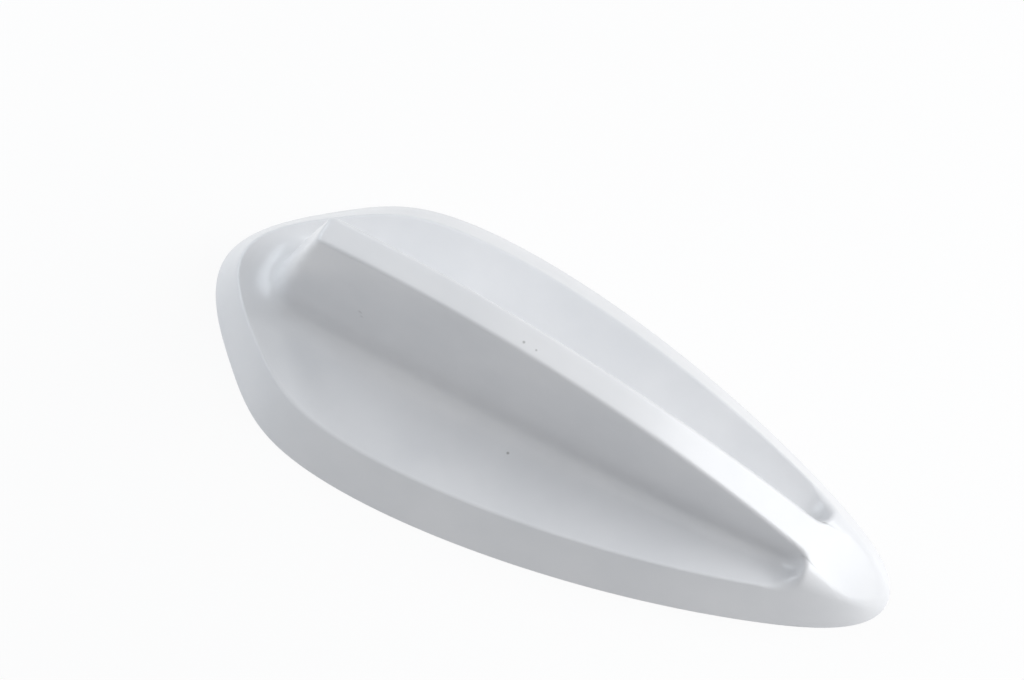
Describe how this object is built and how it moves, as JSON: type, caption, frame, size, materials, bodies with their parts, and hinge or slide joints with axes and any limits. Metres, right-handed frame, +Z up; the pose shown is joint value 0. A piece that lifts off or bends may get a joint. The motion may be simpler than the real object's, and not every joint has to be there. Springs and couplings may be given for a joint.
{
  "type": "roof antenna cover",
  "caption": "Hollow moulded teardrop cover with a leaning skirt, a concave valley and a tall tapering fin, bonded over an antenna base on a car roof.",
  "frame": {"origin": "middle of the cover's length and width, on the plane of the bonding rim", "axes": "+X points to the nose, along the cover's length; +Y points across it; +Z points up, away from the roof"},
  "size_m": [0.176, 0.075, 0.047],
  "materials": {
    "white_gloss": "smooth glossy white moulding"
  },
  "bodies": {
    "root": {"antenna_cover": "white_gloss"}
  },
  "joints": []
}
